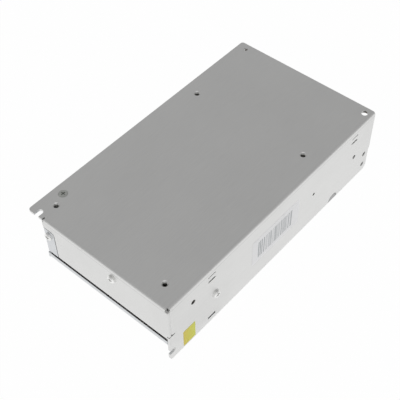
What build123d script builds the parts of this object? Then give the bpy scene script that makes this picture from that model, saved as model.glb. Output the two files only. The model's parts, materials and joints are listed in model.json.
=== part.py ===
from build123d import *
import math
import os

# Enclosed switching power supply, lying on its mesh cover with the base plate up.
# Lengths in millimetres. While a piece is built, x runs from the near end wall,
# y from the solid side wall and z from the cover's outer face.
# A "depth" is measured down from the base plate's outer face.

# Case
case_length = 199.0
case_width = 110.0
case_height = 50.0
wall = 1.5
skin = 0.8
chassis_bend = 0.6
cover_bend = 0.6
cover_gap = 0.2

# Base plate: drawn thread collars, corner hole and cover screw
thread_first_x = 12.6
thread_first_y = 13.3
thread_last_from_end = 60.2
thread_last_from_edge = 10.5
thread_radius = 1.65
thread_rim = 0.6
collar_radius = 3.1
collar_height = 2.4
corner_hole_from_end = 5.3
corner_hole_y = 5.0
corner_hole_radius = 2.1
base_screw_x = 21.5
base_screw_from_edge = 7.0
spare_hole_from_end = 5.0
spare_hole_radius = 1.3

# Mounting ears at the near end
ear_width = 11.8
ear_corner_radius = 2.0
ear_slot_radius = 1.9
base_slot_from_edge = 7.0
base_slot_reach = 5.0
fold_relief = 0.9
side_ear_depth = 26.8
side_slit = 0.7
side_slit_reach = 4.8
side_slot_z = 7.5
side_slot_reach = 4.3

# Near end wall and the corner tab behind it
end_wall_depth = 29.4
corner_tab_reach = 9.0
corner_tab_gap = 0.1
corner_relief = 0.3
end_tongue_reach = 20.0
end_tongue_half_width = 3.2

# Side wall features
bridge_x = 33.4
bridge_from_end = 25.0
bridge_length = 6.2
bridge_upper_slit_depth = 5.8
bridge_lower_slit_depth = 10.0
bridge_slit = 0.9
bridge_rise = 0.15
bridge_ramp = 1.2
clamp_screw_x = 40.1
clamp_screw_depth = 27.2
near_hole_x = 20.5
near_hole_depth = 14.1
near_hole_radius = 1.7
middle_hole_from_end = 64.1
middle_hole_depth = 23.7
middle_hole_radius = 1.1
far_hole_from_end = 19.1
far_hole_depth = 26.1
far_hole_radius = 1.5
side_mount_from_end = 5.9
side_mount_z = 6.5
side_mount_spacing = 9.7
side_mount_radius = 1.75
lug_slot_x = 32.8
lug_slot_length = 6.7
lug_slot_z = 4.6
lug_slot_height = 1.9
half_moon_from_end = 39.6
half_moon_radius = 4.8
far_edge_setback = 0.9
far_edge_setback_depth = 32.0
far_corner_radius = 3.5

# Cover
step_length = 13.0
step_depth = 36.3
lip_height = 4.3
narrow_inset = 10.8
cover_inset = 1.0
mesh_from_end = 31.5
riser_height = 20.2
far_panel_depth = 32.0
far_panel_from_end = 0.5
hem_height = 8.0
hem_end_gap = 1.5
tab_width = 9.2
tab_top_depth = 7.9
tab_bottom_depth = 29.7
tab_screw_depth = 13.0
tab_corner_radius = 2.0
tab_notch_gap = 0.5
flange_reach = 10.5
flange_near_length = 11.0
flange_far_length = 11.0
lug_reach = 1.3
hex_pitch = 9.6
hex_across_flats = 7.2
mesh_margin = 5.0
side_mesh_depth = 14.0
side_mesh_rows = 2
window_length = 12.6
window_height = 7.0

# Fasteners
m3_radius = 1.45
m3_hole_radius = 1.6
m3_tapped_radius = 1.5
pan_head_radius = 2.7
pan_head_height = 1.6
pan_head_chamfer = 0.6
recess_width = 0.8
recess_length = 3.0
recess_depth = 0.9
countersink_radius = 3.0
countersink_height = 1.3
end_screw_y = 42.2
end_screw_depth = 8.2
clamp_screw_length = 9.8
end_screw_length = 4.2
tab_screw_length = 5.0
base_screw_length = 5.5

# Labels on the side wall
label_x = 73.4
label_length = 46.0
label_depth = 14.2
label_height = 21.8
label_thickness = 0.12
sticker_x = 11.4
sticker_length = 10.0
sticker_z = 1.2
sticker_height = 14.2
sticker_thickness = 0.15

# Circuit board, its supports and the film behind it
board_thickness = 1.6
board_near_gap = 6.0
board_far_gap = 11.0
board_side_gap = 1.7
board_notch_gap = 1.4
bridge_to_board = 0.3
standoff_radius = 3.2
standoff_places = [(22.0, 12.0, "near", "side"), (46.0, 9.0, "near", "cover"),
                   (39.0, 9.0, "far", "side"), (33.0, 9.0, "far", "cover")]
board_screw_length = 6.0
film_thickness = 0.3
film_end_gap = 8.0
film_side_gap = 18.0
film_cover_gap = 24.0

# Terminal block and its hinged cover
way_pitch = 9.5
block_far_space = 15.0
block_depth = 17.0
block_height = 17.0
block_ledge = 9.0
block_y = 6.0
block_from_board_end = 0.5
barrier = 1.5
rear_wall = 2.6
barrier_slope = 4.0
pocket_size = 4.0
pocket_depth = 5.5
washer_size = 7.0
washer_thickness = 1.2
terminal_head_radius = 3.2
terminal_head_height = 2.2
terminal_shank_radius = 1.7
terminal_shank_length = 4.5
hinge_ear_length = 2.0
hinge_ear_height = 3.2
hinge_ear_depth = 3.6
hinge_pin_radius = 0.7
hinge_pin_clearance = 0.05
hinge_height = 1.5
knuckle_radius = 1.1
knuckle_end_gap = 0.2
flap_thickness = 1.1
flap_lip = 3.0
flap_front_gap = 0.4

# Trim potentiometer and power lamp beside the terminal block
trim_size = 7.0
trim_height = 4.8
trim_y_gap = 3.0
trim_from_block_front = 8.0
trim_recess_radius = 2.7
trim_recess_depth = 1.2
rotor_radius = 2.6
rotor_height = 2.0
rotor_lift = 0.05
rotor_slot = 0.7
lamp_radius = 1.5
lamp_flange_radius = 1.9
lamp_flange_height = 0.8
lamp_height = 5.4
lamp_to_trim = 8.0

# Mains range switch behind the window in the cover
selector_from_end = 108.0
selector_length = 16.0
selector_depth = 8.8
selector_height = 16.0
selector_gap = 0.3
selector_recess_length = 10.0
selector_recess_height = 5.0
selector_recess_depth = 2.2
selector_centre_height = 8.8
slider_length = 4.6
slider_clearance = 0.1
slider_reach = 0.6
slider_groove = 0.8

# Mains input group, placed from the far end and the cover side
fuse_from_end = 47.0
fuse_from_cover = 13.0
fuse_length = 20.0
fuse_tube_radius = 2.4
fuse_cap_radius = 2.6
fuse_cap_length = 5.2
clip_thickness = 0.4
clip_width = 3.6
clip_height = 6.0
clip_gap = 0.1
x_capacitor_from_end = 49.0
x_capacitor_from_cover = 26.0
x_capacitor_size = (26.0, 10.0, 19.0)
x_capacitor_corner = 1.0
choke_from_end = 77.0
choke_from_cover = 20.0
choke_outer_radius = 10.6
choke_inner_radius = 6.2
choke_core_height = 8.0
choke_wire = 1.3
choke_winding_angle = 130.0
y_capacitor_from_end = (81.0, 71.0)
y_capacitor_from_cover = 36.0
y_capacitor_radius = 4.5
y_capacitor_thickness = 4.0
disc_leg_height = 2.5
disc_leg = 0.7
thermistor_x = 76.0
thermistor_from_cover = 15.0
thermistor_radius = 6.4
thermistor_thickness = 5.0
bridge_rectifier_x = 30.0
bridge_rectifier_from_cover = 11.0
bridge_rectifier_size = (22.0, 4.6, 18.0)
bridge_rectifier_corner = 3.0
bridge_rectifier_lift = 3.0
bridge_rectifier_leads = 4
lead_width = 0.9
package_lead_thickness = 0.45

# Reservoir capacitors, placed from the near end and the cover side
bulk_capacitor_x = (28.0, 55.0)
bulk_capacitor_from_cover = 32.0
bulk_capacitor_radius = 12.5
bulk_capacitor_height = 30.0
can_edge = 0.8

# Power transformer, placed from the near end and the side wall
transformer_x = 88.5
transformer_y = 52.0
core_length = 40.0
core_width = 34.0
core_thickness = 13.0
core_lift = 8.5
centre_leg = 12.0
outer_leg = 5.8
yoke = 5.0
bobbin_wall = 1.3
bobbin_play = 0.2
flange_thickness = 1.2
winding_thickness = 5.2
winding_corner = 3.0

# Output group
output_choke_from_end = 51.0
output_choke_y = 53.6
output_choke_outer_radius = 11.0
output_choke_inner_radius = 6.4
output_choke_core_height = 9.0
output_choke_wire = 1.5
output_choke_winding_angle = 320.0
output_capacitor_from_end = (54.0, 40.0)
output_capacitor_y = (19.0, 34.0)
output_capacitor_radius = 6.25
output_capacitor_height = 25.0
heatsink_from_end = 83.0
heatsink_length = 40.0
heatsink_y = 14.0
heatsink_plate = 3.0
heatsink_height = 28.0
heatsink_fin_count = 7
heatsink_fin = 1.4
heatsink_fin_reach = 8.0

# Transistors and rectifiers in flat three-lead packages
package_width = 10.2
package_thickness = 4.5
package_height = 15.6
package_tab = 1.3
package_body_height = 9.4
package_lift = 7.0
package_lead_pitch = 2.54
rectifier_offset = 10.0
transistor_offset = 8.3
pad_thickness = 0.3
pad_margin = 1.0
clamp_bar_length = 32.0
clamp_bar_height = 9.0
clamp_bar_thickness = 2.6

# Control parts
driver_x = 23.0
driver_y = 25.0
driver_core_size = (16.0, 14.0, 5.0)
driver_coil_size = (10.0, 12.4, 12.0)
driver_core_lift = 4.0
driver_coil_corner = 1.2
chip_x = 48.0
chip_y = 36.0
chip_length = 19.3
chip_width = 6.4
chip_height = 3.4
chip_lift = 0.6
chip_leg_pitch = 2.54
chip_legs_per_side = 8
chip_leg = 0.5
resistor_x = 18.0
resistor_y = 42.0
resistor_spacing = 7.0
resistor_count = 3
resistor_radius = 2.3
resistor_length = 13.0
resistor_lift = 3.2
resistor_lead = 0.7
resistor_lead_reach = 2.0
lug_plate_radius = 3.6
lug_plate_thickness = 0.8
lug_tail_length = 9.0
lug_tail_width = 3.4

# Values that follow from the sizes above
over = 1.0
chassis_fold = chassis_bend + wall
base_inner = case_height - wall
thread_spacing_x = case_length - thread_first_x - thread_last_from_end
thread_spacing_y = case_width - thread_first_y - thread_last_from_edge
step_z = case_height - step_depth
narrow_width = case_width - narrow_inset
end_edge_z = case_height - end_wall_depth
cover_edge_y = case_width - cover_inset
mesh_end_x = case_length - mesh_from_end
mesh_length = mesh_end_x - step_length
panel_low_y = wall + cover_gap
tab_y = narrow_width - tab_width / 2
bridge_inner_depth = bridge_lower_slit_depth + bridge_slit / 2
board_back = case_height - bridge_inner_depth - bridge_to_board
board_face = board_back - board_thickness
board_end_x = case_length - board_far_gap
board_low_y = wall + board_side_gap
board_high_y = cover_edge_y - skin - board_side_gap
way_count = int((case_width - block_y - barrier - block_far_space) / way_pitch)
block_length = way_count * way_pitch + barrier
block_front_x = board_end_x - block_from_board_end
block_rear_x = block_front_x - block_depth
flap_hinge_x = block_rear_x + hinge_ear_depth / 2
flap_hinge_rise = block_height + hinge_height
trim_x = block_front_x - trim_from_block_front
trim_y = block_y + block_length + trim_y_gap + trim_size / 2
selector_x = case_length - selector_from_end
selector_face_y = cover_edge_y - skin - selector_gap


def block(x0, x1, y0, y1, z0, z1):
    centre = Pos((x0 + x1) / 2, (y0 + y1) / 2, (z0 + z1) / 2)
    return centre * Box(x1 - x0, y1 - y0, z1 - z0)


def rod_x(radius, x0, x1, y, z):
    return Pos((x0 + x1) / 2, y, z) * Rot(0, 90, 0) * Cylinder(radius, x1 - x0)


def rod_y(radius, y0, y1, x, z):
    return Pos(x, (y0 + y1) / 2, z) * Rot(90, 0, 0) * Cylinder(radius, y1 - y0)


def rod_z(radius, z0, z1, x, y):
    return Pos(x, y, (z0 + z1) / 2) * Cylinder(radius, z1 - z0)


def along_x(face, x0, x1):
    return extrude(Plane.YZ.offset(x0) * face, amount=x1 - x0)


def along_y(face, y0, y1):
    return extrude(Plane.XZ.offset(-y0) * face, amount=y0 - y1)


def along_z(face, z0, z1):
    return extrude(Plane.XY.offset(z0) * face, amount=z1 - z0)


def folded_strip(path, thickness, inner_radius):
    """Section of a bent sheet. The path is its outer line, with the metal on the left of it."""
    outer = [Vector(x, y) for x, y in path]
    steps = [(b - a).normalized() for a, b in zip(outer, outer[1:])]
    lefts = [Vector(-step.Y, step.X) for step in steps]
    shifts = [lefts[0]]
    for before, after in zip(lefts, lefts[1:]):
        shifts.append(before + after)
    shifts.append(lefts[-1])
    inner = [point + shift * thickness for point, shift in zip(outer, shifts)]
    face = make_face(Polyline(*outer, *reversed(inner), close=True))
    for i in range(1, len(outer) - 1):
        turns_left = steps[i - 1].cross(steps[i]).Z > 0
        path_radius = inner_radius + thickness if turns_left else inner_radius
        other_radius = inner_radius if turns_left else inner_radius + thickness
        for corner, radius in ((outer[i], path_radius), (inner[i], other_radius)):
            nearest = face.vertices().sort_by_distance(corner)[0]
            face = fillet(nearest, radius)
    return face


def round_edge(piece, axis, point, radius):
    nearest = piece.edges().filter_by(axis).sort_by_distance(point)[0]
    return fillet(nearest, radius)


def group(pieces):
    return Compound([solid for piece in pieces for solid in piece.solids()])


def seat(piece, x, y, turn=0):
    """Hangs a piece, built upright from z = 0, from the board's component face."""
    return Pos(x, y, board_face) * Rot(180, 0, 0) * Rot(0, 0, turn) * piece


def from_end(distance):
    return case_length - distance


def from_cover(distance):
    return cover_edge_y - distance


def thread_places():
    return [(thread_first_x + i * thread_spacing_x, thread_first_y + j * thread_spacing_y)
            for i in (0, 1) for j in (0, 1)]


def standoff_centres():
    centres = []
    for x, y, end, side in standoff_places:
        centres.append((x if end == "near" else from_end(x), y if side == "side" else from_cover(y)))
    return centres


def cross_recess(top):
    slot = Pos(0, 0, top - recess_depth / 2) * Box(recess_length, recess_width, recess_depth)
    return slot + Rot(0, 0, 90) * slot


def pan_screw(length):
    """Screw with its head up, the underside of the head at z = 0."""
    head = rod_z(pan_head_radius, 0, pan_head_height, 0, 0)
    top_edge = head.edges().filter_by(GeomType.CIRCLE).sort_by(Axis.Z)[-1]
    return chamfer(top_edge, pan_head_chamfer) + rod_z(m3_radius, -length, 0, 0, 0)


def case_screw(length):
    return pan_screw(length) - cross_recess(pan_head_height)


def lanced_bridge(x0):
    """Strip of the side wall between two slits, pressed a little inward."""
    x1 = x0 + bridge_length
    line = [(x0, 0), (x0 + bridge_ramp, bridge_rise), (x1 - bridge_ramp, bridge_rise), (x1, 0)]
    back = [(x, y + wall) for x, y in reversed(line)]
    strip = make_face(Polyline(*line, *back, close=True))
    top = case_height - bridge_upper_slit_depth - bridge_slit / 2
    bottom = case_height - bridge_lower_slit_depth + bridge_slit / 2
    return along_z(strip, bottom, top)


def side_wall_openings():
    z = case_height
    through = (-over, wall + over)
    cuts = [
        rod_y(m3_hole_radius, *through, clamp_screw_x, z - clamp_screw_depth),
        rod_y(near_hole_radius, *through, near_hole_x, z - near_hole_depth),
        rod_y(middle_hole_radius, *through, from_end(middle_hole_from_end), z - middle_hole_depth),
        rod_y(far_hole_radius, *through, from_end(far_hole_from_end), z - far_hole_depth),
        rod_y(half_moon_radius, *through, from_end(half_moon_from_end), 0),
    ]
    for i in (0, 1):
        rise = side_mount_z + i * side_mount_spacing
        cuts.append(rod_y(side_mount_radius, *through, from_end(side_mount_from_end), rise))
    cuts.append(block(lug_slot_x, lug_slot_x + lug_slot_length, *through,
                      lug_slot_z - lug_slot_height / 2, lug_slot_z + lug_slot_height / 2))
    half_slit = bridge_slit / 2
    for x in (bridge_x, from_end(bridge_from_end)):
        cuts.append(block(x, x + bridge_length, *through, z - bridge_lower_slit_depth - half_slit,
                          z - bridge_upper_slit_depth + half_slit))
    slot_end = side_slot_reach - ear_slot_radius
    cuts.append(rod_y(ear_slot_radius, *through, slot_end, side_slot_z))
    cuts.append(block(-over, slot_end, *through, side_slot_z - ear_slot_radius,
                      side_slot_z + ear_slot_radius))
    cuts.append(block(from_end(far_edge_setback), case_length + over, *through,
                      -over, z - far_edge_setback_depth))
    return cuts


def base_openings():
    z = case_height
    below = base_inner - collar_height - over
    cuts = []
    for x, y in thread_places():
        cuts.append(rod_z(thread_radius, below, z + over, x, y))
        rim = Cone(thread_radius, thread_radius + thread_rim, thread_rim)
        cuts.append(Pos(x, y, z - thread_rim / 2) * rim)
    slot_y = case_width - base_slot_from_edge
    slot_end = base_slot_reach - ear_slot_radius
    cuts.append(rod_z(ear_slot_radius, base_inner - over, z + over, slot_end, slot_y))
    cuts.append(block(-over, slot_end, slot_y - ear_slot_radius, slot_y + ear_slot_radius,
                      base_inner - over, z + over))
    cuts.append(rod_z(corner_hole_radius, below, z + over, from_end(corner_hole_from_end), corner_hole_y))
    screw_y = case_width - base_screw_from_edge
    cuts.append(rod_z(spare_hole_radius, below, z + over, from_end(spare_hole_from_end), screw_y))
    cuts.append(rod_z(m3_hole_radius, below, z + over, base_screw_x, screw_y))
    sink = Cone(m3_hole_radius, countersink_radius, countersink_height)
    cuts.append(Pos(base_screw_x, screw_y, z - countersink_height / 2) * sink)
    return cuts


def chassis():
    top = case_height
    side_section = folded_strip([(case_width, top), (0, top), (0, 0)], wall, chassis_bend)
    sheet = along_x(side_section, chassis_fold, case_length)
    tab_x = wall + corner_tab_gap
    tab_end = tab_x + chassis_fold
    ear_top = top - side_ear_depth - side_slit / 2
    tab_bottom = ear_top + side_slit
    sheet -= block(0, tab_end, -over, wall + over, ear_top, top - chassis_fold)
    sheet += block(0, chassis_fold, 0, wall, 0, ear_top)
    tab_section = folded_strip([(tab_x, corner_tab_reach), (tab_x, 0), (tab_end + over, 0)], wall,
                               chassis_bend)
    sheet += along_z(tab_section, tab_bottom, top - chassis_fold - corner_relief)

    ear_y = case_width - ear_width
    fold_end_y = ear_y - fold_relief
    end_section = folded_strip([(2 * chassis_fold, top), (0, top), (0, end_edge_z)], wall, chassis_bend)
    sheet += along_y(end_section, chassis_fold, fold_end_y)
    strip_top = top - chassis_fold - corner_relief
    sheet += block(0, wall, 0, chassis_fold, tab_bottom, strip_top)
    sheet += block(0, wall, tab_x, chassis_fold, end_edge_z, strip_top)
    sheet -= block(-over, side_slit_reach, -over, wall, ear_top, tab_bottom)
    notch_radius = tab_corner_radius + tab_notch_gap
    notch_y = narrow_width - tab_width + tab_corner_radius
    notch_z = top - tab_top_depth - tab_corner_radius
    notch_top = notch_z + notch_radius
    sheet += block(0, wall, fold_end_y - over, narrow_width - tab_notch_gap, notch_top - over, strip_top)
    sheet -= rod_x(notch_radius, -over, wall + over, notch_y, notch_z)
    sheet -= block(-over, wall + over, notch_y - notch_radius, case_width, end_edge_z - over, notch_z)
    sheet -= block(-over, wall + over, notch_y, case_width, notch_z - over, notch_top)
    tongue_x = skin + corner_tab_gap
    sheet += block(tongue_x, tongue_x + wall, tab_y - end_tongue_half_width, tab_y + end_tongue_half_width,
                   top - end_tongue_reach, strip_top - over)
    sheet -= rod_x(m3_tapped_radius, -over, tongue_x + wall + over, tab_y, top - tab_screw_depth)
    sheet -= rod_x(m3_hole_radius, -over, wall + over, end_screw_y, top - end_screw_depth)

    sheet += block(0, chassis_fold, ear_y, case_width, base_inner, top)
    for x, y in thread_places():
        sheet += rod_z(collar_radius, base_inner - collar_height, base_inner, x, y)
    for cut in base_openings() + side_wall_openings():
        sheet -= cut
    for x in (bridge_x, from_end(bridge_from_end)):
        sheet += lanced_bridge(x)
    sheet = round_edge(sheet, Axis.Z, (0, case_width, top), ear_corner_radius)
    sheet = round_edge(sheet, Axis.Z, (case_length, case_width, top), ear_corner_radius)
    sheet = round_edge(sheet, Axis.Y, (0, 0, 0), ear_corner_radius)
    sheet = round_edge(sheet, Axis.Y, (from_end(far_edge_setback), 0, 0), far_corner_radius)
    return sheet


def hex_holes(length, height, rows=None):
    """Centred staggered rows of hexagons that fit a length by a height."""
    radius = hex_across_flats / math.sqrt(3)
    row_pitch = hex_pitch * math.sqrt(3) / 2
    columns = int((length - hex_across_flats) / hex_pitch) + 1
    if rows is None:
        rows = int((height - 2 * radius) / row_pitch) + 1
    holes = []
    for row in range(rows):
        in_row = columns - row % 2
        y = (row - (rows - 1) / 2) * row_pitch
        for column in range(in_row):
            x = (column - (in_row - 1) / 2) * hex_pitch
            holes.append(Pos(x, y) * RegularPolygon(radius, 6, rotation=30))
    return Sketch() + holes


def mesh_cover():
    top = base_inner - cover_gap
    step_path = [(0, step_z + lip_height), (0, step_z), (step_length, step_z), (step_length, 0),
                 (step_length + 2 * skin + cover_bend, 0)]
    sheet = along_y(folded_strip(step_path, skin, cover_bend), panel_low_y, narrow_width)
    main_path = [(step_length, 0), (mesh_end_x, 0), (mesh_end_x, riser_height)]
    far_edge = cover_edge_y - skin - cover_bend
    sheet += along_y(folded_strip(main_path, skin, cover_bend), panel_low_y + skin, far_edge)
    side_path = [(far_edge - skin, 0), (cover_edge_y, 0), (cover_edge_y, top)]
    sheet += along_x(folded_strip(side_path, skin, cover_bend), step_length + skin, mesh_end_x - skin)
    inner_y = cover_edge_y - skin
    sheet += block(mesh_end_x - 2 * skin, from_end(far_panel_from_end), inner_y, cover_edge_y,
                   case_height - far_panel_depth, top)
    hem_path = [(panel_low_y, hem_height), (panel_low_y, 0), (panel_low_y + 2 * skin + cover_bend, 0)]
    hem_start = step_length + skin + hem_end_gap
    sheet += along_x(folded_strip(hem_path, skin, cover_bend), hem_start, mesh_end_x - skin - hem_end_gap)

    jog_path = [(step_length + 2 * skin + cover_bend, cover_edge_y), (step_length, cover_edge_y),
                (step_length, narrow_width), (wall + cover_gap, narrow_width)]
    sheet += along_z(folded_strip(jog_path, skin, cover_bend), step_z, top)
    sheet += block(step_length, step_length + skin, narrow_width - skin, inner_y + skin / 2, 0, step_z + skin)
    sheet += block(0, 2 * wall, narrow_width - skin, narrow_width, step_z, step_z + lip_height)
    tab_path = [(2 * wall, narrow_width), (0, narrow_width), (0, narrow_width - tab_width)]
    tab = along_z(folded_strip(tab_path, skin, cover_bend), case_height - tab_bottom_depth,
                  case_height - tab_top_depth)
    tab_corner = (0, narrow_width - tab_width, case_height - tab_top_depth)
    tab = round_edge(tab, Axis.X, tab_corner, tab_corner_radius)
    sheet += tab - rod_x(m3_hole_radius, -over, skin + over, tab_y, case_height - tab_screw_depth)

    for x, y in thread_places():
        sheet -= rod_z(collar_radius + 2 * cover_gap, base_inner - collar_height - 2 * cover_gap,
                       case_height, x, y)
    flange_path = [(cover_edge_y, case_height / 2), (cover_edge_y, base_inner),
                   (cover_edge_y - flange_reach, base_inner)]
    flange_section = folded_strip(flange_path, skin, cover_bend)
    flange_start = base_screw_x - flange_near_length / 2
    sheet += along_x(flange_section, flange_start, flange_start + flange_near_length)
    flange_end = from_end(far_panel_from_end)
    sheet += along_x(flange_section, flange_end - flange_far_length, flange_end)
    screw_y = case_width - base_screw_from_edge
    sheet -= rod_z(m3_tapped_radius, base_inner - 2 * skin, base_inner + over, base_screw_x, screw_y)
    sheet -= rod_z(spare_hole_radius, base_inner - 2 * skin, base_inner + over,
                   from_end(spare_hole_from_end), screw_y)

    lug_play = 2 * cover_gap
    sheet += block(lug_slot_x + lug_play, lug_slot_x + lug_slot_length - lug_play,
                   panel_low_y - lug_reach, panel_low_y + skin / 2,
                   lug_slot_z - skin / 2, lug_slot_z + skin / 2)

    mesh_low_y = panel_low_y + mesh_margin
    mesh_height = cover_edge_y - mesh_margin - mesh_low_y
    mesh_centre_x = step_length + mesh_length / 2
    top_holes = hex_holes(mesh_length - 2 * mesh_margin, mesh_height)
    sheet -= along_z(Pos(mesh_centre_x, mesh_low_y + mesh_height / 2) * top_holes, -over, skin + over)
    side_holes = hex_holes(mesh_length - 2 * mesh_margin, 0, side_mesh_rows)
    side_centre = Pos(mesh_centre_x, side_mesh_depth)
    sheet -= along_y(side_centre * side_holes, cover_edge_y - skin - over, cover_edge_y + over)
    window_z = board_face - selector_centre_height
    sheet -= block(selector_x - window_length / 2, selector_x + window_length / 2,
                   inner_y - over, cover_edge_y + over,
                   window_z - window_height / 2, window_z + window_height / 2)
    return sheet


def side_clamp_screw():
    screw = case_screw(clamp_screw_length)
    return Pos(clamp_screw_x, 0, case_height - clamp_screw_depth) * Rot(90, 0, 0) * screw


def end_wall_screw():
    screw = case_screw(end_screw_length)
    return Pos(0, end_screw_y, case_height - end_screw_depth) * Rot(0, -90, 0) * screw


def cover_tab_screw():
    screw = case_screw(tab_screw_length)
    return Pos(0, tab_y, case_height - tab_screw_depth) * Rot(0, -90, 0) * screw


def cover_base_screw():
    head = Cone(m3_radius, countersink_radius - corner_tab_gap, countersink_height)
    screw = Pos(0, 0, -countersink_height / 2) * head
    screw += rod_z(m3_radius, -base_screw_length, -countersink_height, 0, 0)
    screw -= cross_recess(0)
    return Pos(base_screw_x, case_width - base_screw_from_edge, case_height) * screw


def barcode_label():
    z = case_height - label_depth
    return block(label_x, label_x + label_length, -label_thickness, 0, z - label_height, z)


def yellow_sticker():
    return block(sticker_x, sticker_x + sticker_length, -sticker_thickness, 0,
                 sticker_z, sticker_z + sticker_height)


def circuit_board():
    board = block(board_near_gap, board_end_x, board_low_y, board_high_y, board_face, board_back)
    board -= block(0, step_length + skin + board_notch_gap, narrow_width - skin - board_notch_gap,
                   case_width, board_face - over, board_back + over)
    for x, y in standoff_centres():
        board -= rod_z(m3_hole_radius, board_face - over, board_back + over, x, y)
    return board


def board_standoffs():
    pillars = []
    for x, y in standoff_centres():
        pillar = along_z(Pos(x, y) * RegularPolygon(standoff_radius, 6), board_back, base_inner)
        pillars.append(pillar - rod_z(m3_tapped_radius, board_back, base_inner, x, y))
    return group(pillars)


def board_screws():
    screw = pan_screw(board_screw_length)
    return group([seat(screw, x, y) for x, y in standoff_centres()])


def insulation_sheet():
    return block(film_end_gap, board_end_x - film_end_gap / 2, film_side_gap, case_width - film_cover_gap,
                 base_inner - film_thickness, base_inner)


def way_centres():
    first = block_y + barrier / 2 + way_pitch / 2
    return [first + i * way_pitch for i in range(way_count)]


def block_z(rise):
    return board_face - rise


def terminal_screw_x():
    return block_rear_x + rear_wall + washer_size / 2 + cover_gap


def terminal_block():
    end_y = block_y + block_length
    body = block(block_rear_x, block_front_x, block_y, end_y, block_z(block_ledge), board_face)
    body += block(block_rear_x, block_rear_x + rear_wall, block_y, end_y, block_z(block_height),
                  block_z(block_ledge))
    outline = [(block_rear_x, block_z(block_ledge)), (block_front_x, block_z(block_ledge)),
               (block_front_x, block_z(block_height - barrier_slope)),
               (block_front_x - barrier_slope, block_z(block_height)),
               (block_rear_x, block_z(block_height))]
    barrier_face = make_face(Polyline(*outline, close=True))
    for i in range(way_count + 1):
        y = block_y + i * way_pitch
        body += along_y(barrier_face, y, y + barrier)
    for y in way_centres():
        half = pocket_size / 2
        body -= block(terminal_screw_x() - half, terminal_screw_x() + half, y - half, y + half,
                      block_z(block_ledge) - over, block_z(block_ledge) + pocket_depth)
    for y in (block_y, end_y - hinge_ear_length):
        ear_top = block_z(block_height + hinge_ear_height)
        body += block(block_rear_x, block_rear_x + hinge_ear_depth, y, y + hinge_ear_length,
                      ear_top, block_z(block_height))
    bore = hinge_pin_radius + hinge_pin_clearance
    body -= rod_y(bore, block_y - over, end_y + over, flap_hinge_x, block_z(flap_hinge_rise))
    return body


def terminal_clamps():
    washers = []
    z = block_z(block_ledge)
    half = washer_size / 2
    x = terminal_screw_x()
    for y in way_centres():
        washer = block(x - half, x + half, y - half, y + half, z - washer_thickness, z)
        hole = Pos(x, y) * RegularPolygon(terminal_shank_radius + cover_gap, 6)
        washers.append(washer - along_z(hole, z - washer_thickness - over, z + over))
    return group(washers)


def terminal_screws():
    screws = []
    seat_rise = block_ledge + washer_thickness
    screw = rod_z(terminal_head_radius, 0, terminal_head_height, 0, 0)
    screw += along_z(RegularPolygon(terminal_shank_radius, 6), -terminal_shank_length, 0)
    screw -= cross_recess(terminal_head_height)
    for y in way_centres():
        screws.append(seat(Pos(0, 0, seat_rise) * screw, terminal_screw_x(), y))
    return group(screws)


def terminal_cover():
    end_y = block_y + block_length
    z = block_z(flap_hinge_rise)
    knuckle_start = block_y + hinge_ear_length + knuckle_end_gap
    knuckle_end = end_y - hinge_ear_length - knuckle_end_gap
    flap = rod_y(knuckle_radius, knuckle_start, knuckle_end, flap_hinge_x, z)
    flap += rod_y(hinge_pin_radius, block_y, end_y, flap_hinge_x, z)
    front_x = block_front_x - flap_front_gap
    leaf_low = z - flap_thickness / 2
    leaf_high = z + flap_thickness / 2
    flap += block(flap_hinge_x, front_x, knuckle_start, knuckle_end, leaf_low, leaf_high)
    flap += block(front_x - flap_thickness, front_x, knuckle_start, knuckle_end, z - flap_lip, leaf_high)
    return flap


def trim_pot_body():
    body = Pos(0, 0, trim_height / 2) * Box(trim_size, trim_size, trim_height)
    body -= rod_z(trim_recess_radius, trim_height - trim_recess_depth, trim_height + over, 0, 0)
    return seat(body, trim_x, trim_y)


def trim_pot_rotor():
    floor = trim_height - trim_recess_depth + rotor_lift
    rotor = rod_z(rotor_radius, floor, floor + rotor_height, 0, 0)
    rotor -= Pos(0, 0, floor + rotor_height) * Box(2 * rotor_radius + over, rotor_slot, rotor_height)
    return seat(rotor, trim_x, trim_y)


def power_led():
    lamp = rod_z(lamp_radius, 0, lamp_height - lamp_radius, 0, 0)
    lamp += rod_z(lamp_flange_radius, 0, lamp_flange_height, 0, 0)
    lamp += Pos(0, 0, lamp_height - lamp_radius) * Sphere(lamp_radius)
    return seat(lamp, trim_x - lamp_to_trim, trim_y)


def selector_recess(clearance):
    half_length = selector_recess_length / 2 - clearance
    half_height = selector_recess_height / 2 - clearance
    z = board_face - selector_centre_height
    floor = selector_face_y - selector_recess_depth + clearance
    return (selector_x - half_length, selector_x + half_length, floor, z - half_height, z + half_height)


def selector_body():
    half = selector_length / 2
    body = block(selector_x - half, selector_x + half, selector_face_y - selector_depth, selector_face_y,
                 board_face - selector_height, board_face)
    x0, x1, floor, z0, z1 = selector_recess(0)
    return body - block(x0, x1, floor, selector_face_y + over, z0, z1)


def selector_slider():
    x0, x1, floor, z0, z1 = selector_recess(slider_clearance)
    knob = block(x0, x0 + slider_length, floor, selector_face_y + slider_reach, z0, z1)
    groove_x = x0 + (slider_length - slider_groove) / 2
    return knob - block(groove_x, groove_x + slider_groove, selector_face_y, case_width, z0 - over, z1 + over)


def fuse_centre():
    return from_end(fuse_from_end), from_cover(fuse_from_cover), clip_thickness + clip_gap + fuse_cap_radius


def fuse_tube():
    x, y, rise = fuse_centre()
    half = fuse_length / 2 - fuse_cap_length
    return rod_x(fuse_tube_radius, x - half, x + half, y, board_face - rise)


def fuse_caps():
    x, y, rise = fuse_centre()
    half = fuse_length / 2
    z = board_face - rise
    return group([
        rod_x(fuse_cap_radius, x - half, x - half + fuse_cap_length, y, z),
        rod_x(fuse_cap_radius, x + half - fuse_cap_length, x + half, y, z),
    ])


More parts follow.
